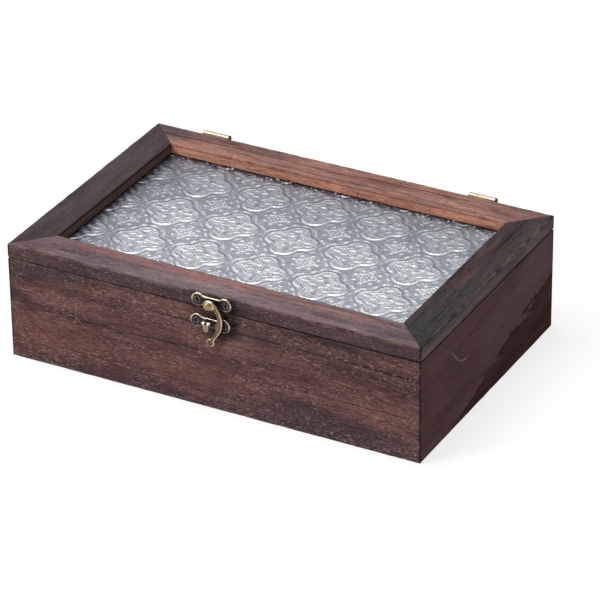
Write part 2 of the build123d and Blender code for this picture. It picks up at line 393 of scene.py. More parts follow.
def draw_veins(m, base, along, bent, veins):
    """Single dark grain lines that follow the bent grain."""
    for side, place, slope, width, centre, reach, share in veins:
        line = m.plus(m.times(m.minus(along, centre), slope), place)
        core = m.range(m.away(bent[side], line), width, width * 0.2, 0.0, share)
        fade = m.range(m.away(along, centre), reach, reach * 0.75)
        base = m.mix(m.times(core, fade), base, BLACK)
    return base


def scratch(m, base, raw, grit, start, end):
    """Thin broken pale line between two points."""
    path = np.array(end) - np.array(start)
    length = float(np.linalg.norm(path))
    unit = tuple(float(c) for c in path / length)
    offset = m.vec("SUBTRACT", raw, tuple(start))
    along = m.math("MAXIMUM", m.vec("DOT_PRODUCT", offset, unit), 0.0)
    along = m.math("MINIMUM", along, length)
    off = m.vec("LENGTH", m.vec("SUBTRACT", offset, m.vec("MULTIPLY", unit, along)))
    off = m.minus(off, m.times(grit, 1.3))
    broken = m.range(grit, 0.44, 0.56, 0.0, 0.6)
    return m.mix(m.times(m.range(off, 0.05, -0.45), broken), base, srgb(*SCRATCH_TONE))


def wear_edges(m, base, patch, rub):
    """Light rubbed spots and dark spots along the arrises."""
    worn = m.attr("wear_and_light")
    rubbed = m.times(m.range(patch, 0.40, 0.62), worn)
    burnt = m.times(m.range(patch, 0.50, 0.34), worn)
    base = m.mix(m.times(rubbed, RUB_SHARE), base, srgb(*rub))
    return m.mix(m.times(burnt, BURN_SHARE), base, BLACK)


def darken_arris(m, base, place_of, arris):
    """Painted shade: a dark line along one upper edge of a rail, where its rounded arris turns away from
    the light.
    """
    side, place, share = arris
    drop = m.away(place_of["z"], LID_TOP)
    off = m.plus(m.away(place_of[side], place), m.times(drop, 0.8))
    return m.mix(m.range(off, 1.25, 0.5, 0.0, share), base, BLACK)


def paint_seam_shade_and_glue_lines(m, base, patch, place_of):
    """Painted shade in the seam between lid and body, and dark glue lines at the upright corners."""
    # painted shade in the gap between lid and body, stronger to the right
    seam_shade = m.range(m.away(place_of["z"], SEAM_Z), 0.75, 0.3)
    right_share = m.range(place_of["x"], -90.0, 70.0, 0.25, 0.8)
    base = m.mix(m.times(seam_shade, right_share), base, BLACK)
    off_x = m.away(m.math("ABSOLUTE", place_of["x"]), HALF_X)
    off_y = m.away(m.math("ABSOLUTE", place_of["y"]), HALF_Y)
    corner = m.plus(m.plus(off_x, off_y), m.centred(patch, 2.4))
    return m.mix(m.range(corner, 1.3, 0.5, 0.0, 0.75), base, BLACK)


def wood(name, axis, seed, tones, zones=(), skins=(), veins=(), streak=0.45, fleck=0.5,
         tight=1.0, rub=(132, 104, 96), shine=0.10, contrast=1.0, warp=7.5,
         wedge=None, scratches=(), arris=None):
    """Stained wood with its grain along one axis.

    tones: dark, middle and light colour. streak, fleck: strength of dark lines and pale specks.
    tight: width of the grain. warp: how far the grain wanders, in millimetres.
    zones: (middle, half sizes, colour, share) tint soft regions.
    skins: (axis, place, colour, share) tint one flat face of the board, with painted light on the back
    rail's inner face.
    veins: (axis, place, slope, width, centre, reach, share) are single dark grain lines.
    wedge: (start, slope, colour, share) darkens the wood below a slanted line, the lower end of a painted
    reflection above it.
    scratches: pairs of end points. arris: (axis, place, share) paints shade along one upper edge.
    """
    m = Nodes(name)
    raw = m.p
    wander = m.noise(m.stretched(axis, 48.0, 17.0, seed), 3.0, 0.55, color=True)
    push = m.vec("MULTIPLY", m.vec("SUBTRACT", wander, (0.5, 0.5, 0.5)), (warp, warp, warp))
    m.p = m.vec("ADD", raw, push)
    place_of = m.xyz(raw)
    along = place_of[axis]
    cloud = m.noise(m.stretched(axis, 55.0, 8.0, seed + 1), 4.0, 0.6)
    hue = m.noise(m.stretched(axis, 24.0, 5.0, seed + 11), 3.0, 0.6)
    base = m.ramp(cloud, [(stop, srgb(*tone)) for stop, tone in zip((0.28, 0.5, 0.74), tones)])
    warm = m.mix(m.range(hue, 0.36, 0.64), (0.93, 0.98, 1.05, 1), (1.06, 1.0, 0.96, 1))
    base = m.mix(1.0, base, warm, "MULTIPLY")
    base = tint_faces(m, base, cloud, place_of, skins)
    base = tint_zones(m, base, cloud, raw, zones)
    if wedge is not None:
        base = paint_reflection_edge(m, base, hue, along, place_of["z"], wedge)
    lines = growth_lines(m, axis, seed, tight, cloud)
    base = m.mix(m.times(lines, streak), base, BLACK)
    base = draw_veins(m, base, along, m.xyz(m.p), veins)
    fine = m.noise(m.stretched(axis, 9.0, 0.62 * tight, seed + 3), 5.0, 0.68)
    grit = m.noise(m.stretched(axis, 1.7, 0.55, seed + 9), 3.0, 0.6)
    for texture, start, darker, lighter in ((fine, 0.28, 0.50, 0.55), (grit, 0.3, 0.24, 0.28)):
        low = 1.0 - darker * contrast
        high = 1.0 + lighter * contrast
        base = m.mix(1.0, base, m.range(texture, start, 1.0 - start, low, high, False), "MULTIPLY")
    dash = m.noise(m.stretched(axis, 2.4, 0.45, seed + 4), 4.0, 0.62)
    patchy = m.noise(m.stretched(axis, 26.0, 9.0, seed + 5), 2.0, 0.5)
    light = m.times(m.range(dash, 0.53, 0.68), m.range(patchy, 0.36, 0.56, 0.2, 1.0))
    base = m.mix(m.times(light, fleck), base, srgb(*SPECK_TONE))
    pore = m.range(m.noise(m.stretched(axis, 4.5, 0.4, seed + 6), 3.0, 0.6), 0.42, 0.30)
    base = m.mix(m.times(pore, 0.6 * contrast), base, BLACK)
    for start, end in scratches:
        base = scratch(m, base, raw, grit, start, end)
    patch = m.noise(m.stretched(axis, 9.0, 3.0, seed + 7), 3.0, 0.6)
    base = wear_edges(m, base, patch, rub)
    if arris is not None:
        base = darken_arris(m, base, place_of, arris)
    base = paint_seam_shade_and_glue_lines(m, base, patch, place_of)
    m.put("Base Color", base)
    gloss = m.noise(m.stretched(axis, 30.0, 5.0, seed + 8), 2.0, 0.5)
    m.put("Roughness", m.range(gloss, 0.3, 0.7, 0.43, 0.62))
    m.put("Specular IOR Level", shine)
    relief = m.minus(m.times(fine, 0.5), pore)
    relief = m.minus(relief, m.times(lines, 0.5))
    relief = m.plus(relief, m.times(grit, 0.3))
    m.put("Normal", m.bump(relief, 0.8, PORE_DEPTH * MM * contrast))
    return m.mat


def bronze(name, seed, dark=(50, 42, 45), mid=(96, 83, 78), bright=(196, 184, 158), polish=0.0):
    """Antiqued bronze: dark in the recesses, rubbed bright on raised edges; its point attribute also
    carries painted light and shade on the plates, lug and hook.
    """
    m = Nodes(name)
    worn = m.attr("wear_and_light")
    blotch = m.noise(m.stretched("x", 1.6, 1.6, seed), 4.0, 0.6)
    speck = m.noise(m.stretched("x", 0.35, 0.35, seed + 2), 2.0, 0.5)
    level = m.plus(worn, m.centred(blotch, 0.7))
    level = m.plus(level, polish)
    color = m.ramp(level, [
        (0.10, srgb(*dark)),
        (0.45, srgb(*mid)),
        (0.85, srgb(*bright)),
    ])
    color = m.mix(m.times(m.range(speck, 0.62, 0.74), 0.5), color, srgb(*dark))
    m.put("Base Color", color)
    m.put("Metallic", 0.92)
    m.put("Roughness", m.range(level, 0.0, 1.0, 0.52, 0.3))
    lumps = m.plus(m.times(blotch, 0.7), m.times(speck, 0.3))
    m.put("Normal", m.bump(lumps, 0.5, 0.12 * MM))
    return m.mat


def brass(name, seed, ends):
    """Plain rolled brass, with painted shade along the crest, painted shade and reflection of the wood
    along the foot, and painted shade at the barrel ends.
    """
    m = Nodes(name)
    cloud = m.noise(m.stretched("x", 5.0, 2.0, seed), 3.0, 0.6)
    lines = m.noise(m.stretched("x", 12.0, 0.12, seed + 3), 2.0, 0.5)
    color = m.ramp(cloud, [
        (0.3, srgb(206, 193, 166)),
        (0.55, srgb(222, 211, 188)),
    ])
    spot = m.noise(m.stretched("x", 0.8, 0.8, seed + 5), 3.0, 0.6)
    color = m.mix(m.times(m.range(spot, 0.62, 0.74), 0.16), color, srgb(110, 88, 56))
    place_of = m.xyz(m.p)
    # painted shade along the crest of the barrel, painted shade and reflection of the wood along its foot
    crest = m.range(place_of["z"], LID_TOP + 0.72, LID_TOP + 0.96, 0.0, 0.6)
    foot = m.range(place_of["z"], LID_TOP + 0.22, LID_TOP, 0.0, 0.6)
    color = m.mix(crest, color, srgb(120, 100, 76))
    color = m.mix(foot, color, srgb(110, 84, 60))
    # painted shade at the barrel ends
    for end in ends:
        end_shade = m.range(m.away(place_of["x"], end), 1.1, 0.4, 0.0, 0.95)
        color = m.mix(end_shade, color, srgb(30, 24, 20))
    m.put("Base Color", color)
    m.put("Metallic", 0.55)
    m.put("Roughness", m.range(cloud, 0.3, 0.7, 0.58, 0.46))
    m.put("Normal", m.bump(lines, 0.25, 0.05 * MM))
    return m.mat


def black_metal(name, seed, head_y=None):
    """Blackened steel, slightly rubbed; heads that face -Y at head_y are black in the sunk cross."""
    m = Nodes(name)
    cloud = m.noise(m.stretched("x", 0.9, 0.9, seed), 3.0, 0.6)
    color = m.ramp(cloud, [
        (0.35, srgb(52, 45, 49)),
        (0.6, srgb(102, 90, 96)),
        (0.8, srgb(140, 124, 114)),
    ])
    if head_y is not None:
        sunk = m.range(m.xyz(m.p)["y"], head_y + 0.06, head_y + 0.2)
        color = m.mix(sunk, color, BLACK)
    m.put("Base Color", color)
    m.put("Metallic", 0.85)
    m.put("Roughness", m.range(cloud, 0.3, 0.7, 0.5, 0.34))
    m.put("Normal", m.bump(cloud, 0.3, 0.06 * MM))
    return m.mat


def figured_glass(name):
    """Pressed glass: clear in the hollows, milky on the ribs and strokes.

    The point attribute of the pane holds its milkiness together with painted light and shade on the ridge
    flanks, painted shade along the rails and painted glints.
    """
    m = Nodes(name)
    milk_and_light = m.attr("wear_and_light")
    grain = m.noise(m.stretched("x", 0.8, 0.8, 2.0), 3.0, 0.6)
    cloud = m.noise(m.stretched("y", 13.0, 5.0, 4.0), 3.0, 0.55)
    level = m.plus(milk_and_light, m.centred(grain, 0.42))
    level = m.plus(level, m.centred(cloud, 0.26))
    # painted glints and dark specks on the pressed parts
    spark = m.noise(m.stretched("x", 0.62, 0.62, 7.0), 2.0, 0.5)
    pressed = m.range(milk_and_light, 0.44, 0.56)
    bright = m.times(m.range(spark, 0.56, 0.68, 0.0, 0.34), pressed)
    dull = m.times(m.range(spark, 0.44, 0.34, 0.0, 0.26), pressed)
    level = m.minus(m.plus(level, bright), dull)
    tint = m.ramp(level, [
        (0.0, srgb(34, 36, 35)),
        (0.13, srgb(92, 95, 103)),
        (0.4, srgb(160, 163, 172)),
        (0.7, srgb(226, 229, 235)),
        (1.0, srgb(255, 255, 255)),
    ])
    m.put("Base Color", tint)
    m.put("IOR", 1.5)
    m.put("Specular IOR Level", 0.9)
    m.put("Transmission Weight", m.range(milk_and_light, 0.1, 0.8, 0.30, 0.12, False))
    m.put("Roughness", m.range(grain, 0.3, 0.7, 0.06, 0.16))
    m.put("Normal", m.bump(grain, 0.4, 0.08 * MM))
    return m.mat

# ---------------------------------------------------------------- dress wood
def finish_piece(piece, node, body, material):
    """Hand a piece over in place of a CAD node."""
    piece.data.materials.append(material)
    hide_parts(node)
    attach(piece, body)


def dress(names, material):
    """Put one material on CAD nodes that are kept as they are."""
    for name in names:
        nodes[name].data.materials.clear()
        nodes[name].data.materials.append(material)


def add_wall(node, run, side, seed, material):
    piece = board(node + "_shaped", run, side, wall_corners(), seed)
    finish_piece(piece, node, "base", material)


def add_rail(node, run, side, seed, material):
    piece = board(node + "_shaped", run, side, rail_corners(), seed)
    finish_piece(piece, node, "lid", material)


front_zones = [
    ((-95, FRONT, 18), (40, 9, 12), (112, 70, 61), 0.5),
    ((70, FRONT, 6), (80, 9, 12), (58, 46, 50), 0.8),
    ((-60, FRONT, 3), (60, 9, 8), (58, 44, 45), 0.7),
    ((-100, FRONT, 55), (40, 9, 8), (58, 46, 47), 0.7),
    ((95, FRONT, 24), (34, 9, 12), (104, 71, 64), 0.5),
    ((-20, FRONT, 20), (50, 9, 12), (100, 64, 60), 0.5),
    ((30, FRONT, 48), (46, 9, 6), (64, 48, 49), 0.5),
    # the last three zones are painted shadow of the latch plates and hook on the wall
    ((4.0, FRONT, 54), (19, 9, 14), (30, 20, 21), 0.88),
    ((8.5, FRONT, 49), (10, 9, 12), (22, 13, 14), 0.9),
    ((12.6, FRONT, 53), (4.4, 9, 9), (8, 5, 5), 1.0),
]
front_veins = [
    ("z", 32.5, 0.0, 0.75, -50.0, 55.0, 0.75),
    ("z", 48.5, -0.01, 0.8, 45.0, 85.0, 0.75),
    ("z", 24.0, 0.02, 0.6, 70.0, 50.0, 0.55),
    ("z", 41.5, 0.01, 0.5, 10.0, 90.0, 0.45),
    ("z", 12.0, -0.01, 0.6, -20.0, 80.0, 0.45),
]
BODY_TONES = [(56, 39, 38), (83, 57, 54), (106, 75, 69)]
add_wall("front_wall", "x", -1, 1,
         wood("wood_front_wall", "x", 1.0, BODY_TONES, front_zones, (), front_veins,
              fleck=0.56, tight=0.72, contrast=1.35, warp=5.0))
add_wall("back_wall", "x", 1, 2,
         wood("wood_back_wall", "x", 7.0, BODY_TONES))
add_wall("left_wall", "y", -1, 3,
         wood("wood_left_wall", "y", 12.0, BODY_TONES, fleck=0.2, contrast=0.6))
add_wall("right_wall", "y", 1, 4,
         wood("wood_right_wall", "y", 19.0, [(69, 46, 46), (78, 53, 53), (86, 60, 60)],
              [((HALF_X, 60, 46), (9, 30, 18), (88, 72, 76), 0.6),
               ((HALF_X, 22, 34), (9, 42, 20), (86, 64, 63), 0.6)],
              streak=0.08, fleck=0.04, tight=1.5, shine=0.012, contrast=0.3,
              # painted reflection on the right wall: lighter wood above a slanted line, darker below it
              wedge=(-46.0, 0.275, (50, 22, 18), 1.0),
              scratches=[((HALF_X, -43, 46), (HALF_X, -36, 38.5)),
                         ((HALF_X, -36, 38.5), (HALF_X, -31, 35.5)),
                         ((HALF_X, -31, 35.5), (HALF_X, -25, 34.5))]))

add_rail("lid_front_rail", "x", -1, 5,
         wood("wood_lid_front", "x", 23.0, [(74, 62, 67), (106, 90, 92), (130, 110, 109)],
              [((-20, FRONT + 16, LID_TOP), (80, 5, 6), (144, 102, 97), 0.65),
               ((-105, FRONT + 8, LID_TOP), (30, 9, 6), (84, 66, 68), 0.7),
               ((-50, FRONT + 3, LID_TOP), (50, 5, 6), (96, 86, 94), 0.6),
               ((60, FRONT + 14, LID_TOP), (50, 5, 6), (140, 104, 98), 0.5),
               # the last two zones are painted shadow of the latch plate on the rail
               ((4.5, FRONT, 59), (18, 4, 7), (30, 20, 21), 0.88),
               ((12.8, FRONT, 61), (4.2, 4, 8), (8, 5, 5), 1.0)],
              [("y", FRONT, (66, 48, 48), 0.95)], streak=0.45, fleck=0.36, contrast=0.9))
add_rail("lid_back_rail", "x", 1, 6,
         wood("wood_lid_back", "x", 29.0, [(104, 71, 63), (142, 103, 92), (162, 123, 110)],
              [((-95, HALF_Y - 3, LID_TOP), (60, 5, 6), (92, 70, 70), 0.7),
               ((-114, HALF_Y - 5, LID_TOP), (24, 15, 6), (88, 72, 75), 0.8),
               ((108, HALF_Y - 7, LID_TOP), (26, 12, 6), (104, 80, 78), 0.6)],
              # painted light on the inner face of the back rail, where the lamps in front fall on it
              [("y", HALF_Y - RAIL_W, (200, 140, 118), 0.95)],
              [("y", HALF_Y - 8, 0.012, 0.6, -20.0, 110.0, 0.8),
               ("y", HALF_Y - 15.5, -0.008, 0.6, 30.0, 90.0, 0.7)],
              streak=0.55, fleck=0.3, tight=1.1, rub=(196, 150, 126), contrast=0.9,
              # painted shade along the upper inner arris
              arris=("y", HALF_Y - RAIL_W, 0.55)))
add_rail("lid_left_rail", "y", -1, 7,
         wood("wood_lid_left", "y", 37.0, [(52, 43, 45), (68, 57, 60), (82, 69, 71)], (),
              [("x", RAIL_W - HALF_X, (114, 86, 80), 0.9)],
              streak=0.2, fleck=0.05, tight=1.4, contrast=0.55, warp=2.5,
              # painted shade along the upper inner arris
              arris=("x", RAIL_W - HALF_X, 0.9)))
add_rail("lid_right_rail", "y", 1, 8,
         wood("wood_lid_right", "y", 41.0, [(46, 38, 40), (68, 55, 56), (92, 72, 68)],
              [((HALF_X - 8, -62, LID_TOP), (16, 60, 6), (52, 54, 57), 0.85),
               ((HALF_X - 3, 0, LID_TOP), (7, 70, 6), (62, 58, 60), 0.6),
               ((HALF_X - 5, 66, LID_TOP), (9, 28, 6), (62, 58, 62), 0.7)],
              [("x", HALF_X, (92, 72, 75), 0.9)],
              streak=0.6, fleck=0.06, tight=0.75, shine=0.04, contrast=0.95, warp=2.5))

dress(["bottom_panel"],
      wood("wood_bottom_panel", "x", 51.0, [(96, 72, 60), (120, 92, 78), (140, 110, 94)],
           streak=0.3, fleck=0.15, tight=1.6))


# --------------------------------------------------------------- glass pane
PITCH_X, PITCH_Y = 35.74, 35.55         # repeat of the pressed pattern
FLOWER_X, FLOWER_Y = 4.4, 2.1           # middle of one flower
GLASS_CELL = 1.1                        # cell of the underside grid, three relief cells wide
RELIEF_FOOT, RELIEF_LOW = 0.75, 1.0     # plain face and deepest point below the highest one

# (right, back, radius) of the lobes, in millimetres from the middle of the flower
FLOWER_LOBES = [(-7.4, -0.4, 6.9), (8.6, -0.6, 7.0), (-0.2, 7.6, 7.0), (0.3, -9.0, 7.3)]
FLOWER_CORE = 10.2
FLOWER_RINGS = [((-2.4, 5.2), 1.7), ((5.0, 2.6), 1.4)]

# (middle, half sizes, turn) of the raised strokes and the hollows inside a flower
FLOWER_STROKES = [
    ((-9.0, 0.8), (2.9, 1.1), 0.0),
    ((-4.2, -1.0), (2.2, 0.9), 0.1),
    ((9.0, 0.8), (2.7, 1.0), 0.0),
    ((4.1, 1.4), (1.5, 1.0), -0.6),
    ((-0.8, 10.6), (2.1, 1.3), 0.55),
    ((1.4, -2.2), (1.6, 1.1), 0.6),
    ((4.2, -1.0), (1.3, 1.0), -0.7),
    ((-1.2, -6.8), (1.3, 1.6), 0.5),
    ((-6.2, 4.4), (2.4, 0.8), 0.5),
    ((5.6, 5.4), (2.2, 0.8), -0.3),
    ((-5.4, -5.6), (2.0, 0.8), -0.3),
    ((6.2, -5.4), (2.4, 0.8), 0.3),
    ((-1.4, 3.9), (1.8, 0.8), 0.0),
    ((11.2, -2.8), (1.6, 0.8), 0.4),
]
FLOWER_HOLLOWS = [
    ((0.8, -8.4), (1.5, 4.4), 0.0),
    ((-0.6, 8.0), (2.4, 1.0), 0.4),
    ((1.8, 3.4), (1.2, 1.8), 0.5),
    ((7.6, -1.6), (3.0, 0.7), 0.1),
]


def smooth(a, b, v):
    t = np.clip((v - a) / (b - a), 0.0, 1.0)
    return t * t * (3 - 2 * t)


def soft_min(a, b, k):
    """Smaller of two distances, with the corner between them rounded over k."""
    h = np.clip(0.5 + 0.5 * (b - a) / k, 0, 1)
    return b + (a - b) * h - k * h * (1 - h)


def tent(distance, width):
    """Smooth ridge profile, 1 on the line and 0 at the given distance."""
    return smooth(width, 0.0, distance)


def oval(u, v, mid, size, turn):
    """1 inside a slanted oval, fading to 0 at its edge."""
    c, s = math.cos(turn), math.sin(turn)
    a = (u - mid[0]) * c + (v - mid[1]) * s
    b = (v - mid[1]) * c - (u - mid[0]) * s
    return smooth(1.25, 0.45, np.hypot(a / size[0], b / size[1]))


def wrapped(value, centre, pitch):
    """Offset from the nearest repeat of a pattern."""
    return (value - centre + pitch / 2) % pitch - pitch / 2


def flower_relief(u, v, x, y):
    """Height and milkiness of the large four-lobed flower."""
    outside = np.hypot(u, v) - FLOWER_CORE
    for lobe_u, lobe_v, size in FLOWER_LOBES:
        outside = soft_min(outside, np.hypot(u - lobe_u, v - lobe_v) - size, 2.4)
    inside = smooth(0.0, 1.0, -outside)
    # fine texture of the petals
    wobble = 0.25 * np.sin(x * 0.31 + y * 0.17)
    ribs = np.sin((u * 0.96 + v * 0.27 + wobble) * 2 * np.pi / 1.35)
    scales = np.sin((v * 0.9 - 0.8 * np.abs(u)) * 2 * np.pi / 2.1 + 1.2 * np.sin(x * 1.7 + y))
    curls = np.sin(2.7 * u + 2.3 * np.sin(1.7 * v + 0.4)) * np.sin(2.9 * v + 2.1 * np.sin(1.9 * u + 1.0))
    pits = np.sin(4.4 * u + 1.3 * np.sin(2.2 * v)) * np.sin(4.9 * v + 1.2 * np.sin(2.0 * u))
    milk_and_light = 0.38 + (0.085 + 0.05 * ribs + 0.07 * scales + 0.08 * curls + 0.11 * pits) * inside
    height = (0.10 + 0.03 * ribs + 0.025 * scales + 0.025 * curls + 0.02 * pits) * inside
    # raised rim, lower on the far side, with a groove round it
    rim = tent(np.abs(outside + 0.7), 1.3) * (0.5 + 0.5 * smooth(5.0, -3.0, v + 0.3 * u))
    groove = tent(np.abs(outside - 0.9), 1.2)
    height = height + 0.34 * rim - 0.12 * groove
    rings = 0.0
    for (ring_u, ring_v), radius in FLOWER_RINGS:
        off = np.abs(np.hypot(u - ring_u, v - ring_v) - radius)
        rings = np.maximum(rings, tent(off, 0.8))
    height = height + 0.16 * rings
    for mid, size, turn in FLOWER_STROKES:
        stroke = oval(u, v, mid, size, turn)
        height = height + 0.22 * stroke
        milk_and_light = milk_and_light + 0.10 * stroke
    for mid, size, turn in FLOWER_HOLLOWS:
        hollow = oval(u, v, mid, size, turn)
        height = height - 0.07 * hollow
        milk_and_light = milk_and_light - 0.09 * hollow
    # beaded line round the flower
    angle = np.arctan2(v, u)
    uneven = 0.6 + 0.4 * np.sin(angle * 3.0 + 0.8)
    beads = smooth(-0.35, 0.35, np.cos(angle * 13 + 2.0 * np.sin(angle * 3 + 0.5)))
    beads = beads * (0.5 + 0.5 * uneven)
    outline = tent(np.abs(outside - 2.5 - 0.3 * np.sin(angle * 7)), 1.2) * beads
    return height + 0.26 * outline, milk_and_light + 0.20 * outline


def rosette_relief(u, v):
    """Height and milkiness of the small rosette in each gap between four flowers."""
    out = np.hypot(u, v)
    turn = np.arctan2(v, u)
    dots = tent(np.abs(out - 7.0), 1.35) * smooth(0.1, 0.8, np.cos(turn * 8 + 0.6))
    loop = tent(np.abs(out - 4.2 - 1.0 * np.cos(turn * 4)), 0.9)
    loop = np.maximum(loop, tent(np.abs(out - 2.6), 1.3) * smooth(-0.2, 0.6, np.cos(turn * 8)))
    heart = tent(out, 1.5)
    flecks = smooth(0.25, 0.8, np.sin(2.9 * u + 1.0) * np.sin(3.3 * v + 0.8 * u)) * smooth(7.4, 4.6, out)
    height = 0.28 * dots + 0.22 * loop + 0.26 * heart + 0.12 * flecks
    milk_and_light = 0.22 * dots + 0.16 * loop + 0.12 * heart + 0.14 * flecks
    return height, milk_and_light


def shade_edges(x, y, milk_and_light):
    """Painted shade towards the back and left rails, a ragged painted shadow band along them and painted
    glints in it.
    """
    from_back = glass_high[1] - RABBET - y
    from_left = x - glass_low[0] - RABBET
    shade = 0.65 + 0.14 * smooth(0.0, 12.0, from_back) + 0.31 * smooth(10.0, 75.0, from_back)
    milk_and_light = milk_and_light * shade * (0.61 + 0.39 * smooth(0.0, 38.0, from_left))
    ragged = 1.3 * np.sin(x * 0.62 + y) + 0.9 * np.sin(x * 1.7 - y * 1.3)
    # painted shadow band along the back and left rails
    dark_back = smooth(5.2, 0.4, from_back + ragged)
    dark_left = smooth(7.4, 0.4, from_left + 0.8 + 1.5 * ragged)
    dark = np.maximum(dark_back, dark_left)
    # painted glints along the shadow band
    glints = smooth(0.5, 0.8, np.sin(x * 1.25 + 1.4 * np.sin(x * 0.47)) * np.sin(y * 1.3 + x * 0.35))
    glints = glints * smooth(-0.7, 0.6, np.sin(x * 0.31 + 2.0 * np.sin(x * 0.083)))
    return milk_and_light * (1.0 - 0.80 * dark) + (0.55 * dark_back + 0.22 * dark_left) * glints


def glass_relief(x, y):
    """Height of the pressed pattern in millimetres and its milkiness, with painted light and shade added
    to it.
    """
    u = wrapped(x, FLOWER_X, PITCH_X)
    v = wrapped(y, FLOWER_Y, PITCH_Y)
    height, milk_and_light = flower_relief(u, v, x, y)
    gap_u = wrapped(u, PITCH_X / 2, PITCH_X)
    gap_v = wrapped(v, PITCH_Y / 2, PITCH_Y)
    more_height, more_milk = rosette_relief(gap_u, gap_v)
    # uneven cast surface
    ripple = np.sin(x * 0.9 + 1.3 * np.sin(y * 0.7)) * np.sin(y * 1.1 + 1.1 * np.sin(x * 0.8))
    height = height + more_height + 0.035 * ripple
    # painted light on one flank of each ridge and painted shade on the other
    rise_y, rise_x = np.gradient(height, y[1, 0] - y[0, 0], x[0, 1] - x[0, 0])
    slope = 0.90 * rise_y - 0.35 * rise_x
    milk_and_light = milk_and_light + more_milk + 0.85 * np.clip(slope, -0.27, 0.8)
    return height, np.clip(shade_edges(x, y, milk_and_light), 0.0, 1.0)


def make_glass():
    """Closed pane: fine relief on top, a flat underside with a grid three times coarser."""
    cells_x = int((glass_high[0] - glass_low[0]) / GLASS_CELL)
    cells_y = int((glass_high[1] - glass_low[1]) / GLASS_CELL)
    xs = np.linspace(glass_low[0], glass_high[0], cells_x * 3 + 1)
    ys = np.linspace(glass_low[1], glass_high[1], cells_y * 3 + 1)
    gx, gy = np.meshgrid(xs, ys)
    height, milk_and_light = glass_relief(gx, gy)
    top = np.clip(GLASS_TOP - RELIEF_FOOT + height, GLASS_TOP - RELIEF_LOW, GLASS_TOP)
    grid = np.stack([gx, gy, top], -1)
    foot = grid[::3, ::3].copy()
    foot[..., 2] = glass_low[2]
    index = np.arange(gx.size).reshape(gx.shape)
    under = index.size + np.arange(foot.shape[0] * foot.shape[1]).reshape(foot.shape[:2])
    quads = np.stack([index[:-1, :-1], index[:-1, 1:], index[1:, 1:], index[1:, :-1]], -1)
    lower = np.stack([under[:-1, :-1], under[1:, :-1], under[1:, 1:], under[:-1, 1:]], -1)
    faces = quads.reshape(-1, 4).tolist() + lower.reshape(-1, 4).tolist()

    def rim(table):
        ring = [*table[0, :], *table[1:, -1], *table[-1, -2::-1], *table[-2:0:-1, 0]]
        return [int(v) for v in ring]

    over, below = rim(index), rim(under)
    for i in range(len(below)):
        j = (i + 1) % len(below)
        run = [over[(3 * i + k) % len(over)] for k in (3, 2, 1, 0)]
        faces.append((*run, below[i], below[j]))
    verts = np.concatenate([grid.reshape(-1, 3), foot.reshape(-1, 3)])
    milk_and_light = np.concatenate([milk_and_light.reshape(-1), milk_and_light[::3, ::3].reshape(-1)])
    return new_mesh("glass_relief", verts, faces, milk_and_light, 80.0)


finish_piece(make_glass(), "glass_pane", "lid", figured_glass("pressed_glass"))


# -------------------------------------------------------------- latch pieces
METAL_CELL = 0.13           # grid of the stamped and cast metal
SCREW_OFF = 16.4 / 2        # from the middle of a plate to its screws
SCREW_HOLE = 2.05
PLATE_WAIST = 2.55          # half the height of a plate between its lobes
PLATE_BACK = 0.02           # clearance between a plate and the wood
PLATE_FACE, PLATE_RIM = 0.62, 1.0       # thickness at the sunk face and at the raised rim
PIVOT_X = (rivet_low[0] + rivet_high[0]) / 2
PIVOT_Z = (rivet_low[2] + rivet_high[2]) / 2
HOOK_BACK = FRONT - hook_high[1]
HOOK_FRONT = FRONT - hook_low[1]


def relief_plate(name, sdf, low, high, margin, depth_of, back, wear_of):
    """Flat metal piece facing -Y, shaped by a signed distance in X and Z.

    depth_of and wear_of take that distance and the place; depths are measured from the wood.
    """
    xs = np.arange(low[0] - margin, high[0] + margin + METAL_CELL, METAL_CELL)
    zs = np.arange(low[2] - margin, high[2] + margin + METAL_CELL, METAL_CELL)
    gx, gz = np.meshgrid(xs, zs)
    s = sdf(gx, gz)
    inside = s < 0
    cell = inside[:-1, :-1] | inside[:-1, 1:] | inside[1:, 1:] | inside[1:, :-1]
    used = np.zeros_like(inside)
    used[:-1, :-1] |= cell
    used[:-1, 1:] |= cell
    used[1:, :-1] |= cell
    used[1:, 1:] |= cell
    # draw the points near the edge onto the edge itself
    px, pz = gx.copy(), gz.copy()
    move = used & (s > -0.3 * METAL_CELL)
    e = 0.01
    for _ in range(4):
        here = sdf(px, pz)
        dx = (sdf(px + e, pz) - sdf(px - e, pz)) / (2 * e)
        dz = (sdf(px, pz + e) - sdf(px, pz - e)) / (2 * e)
        size = np.maximum(dx * dx + dz * dz, 1e-4)
        px = np.where(move, px - here * dx / size, px)
        pz = np.where(move, pz - here * dz / size, pz)
    s = np.where(move, 0.0, s)
    order = -np.ones(gx.shape, int)
    order[used] = np.arange(used.sum())
    depth = depth_of(s, px, pz)
    front = np.stack([px[used], FRONT - depth[used], pz[used]], -1)
    behind = front.copy()
    behind[:, 1] = FRONT - back
    count = len(front)
    quads = np.stack([order[:-1, :-1], order[:-1, 1:], order[1:, 1:], order[1:, :-1]], -1)[cell]
    faces = [tuple(q) for q in quads.tolist()]
    faces += [tuple(count + i for i in reversed(q)) for q in quads.tolist()]
    # edges used by one face only get a side wall
    edges = {}
    for q in quads.tolist():
        for i in range(4):
            a, b = q[i], q[(i + 1) % 4]
            if (b, a) in edges:
                del edges[(b, a)]
            else:
                edges[(a, b)] = True
    for a, b in edges:
        faces.append((b, a, count + a, count + b))
    wear_and_light = wear_of(s, px, pz)[used]
    wear_and_light = np.concatenate([wear_and_light, wear_and_light * 0.3])
    return new_mesh(name, np.concatenate([front, behind]), faces, wear_and_light, 50.0)


def capsule(x, z, a, b, ra, rb):
    """Distance to a tapered bar from a to b."""
    ax, az = a
    bx, bz = b
    dx, dz = bx - ax, bz - az
    t = np.clip(((x - ax) * dx + (z - az) * dz) / (dx * dx + dz * dz), 0, 1)
    return np.hypot(x - ax - t * dx, z - az - t * dz) - (ra + (rb - ra) * t)


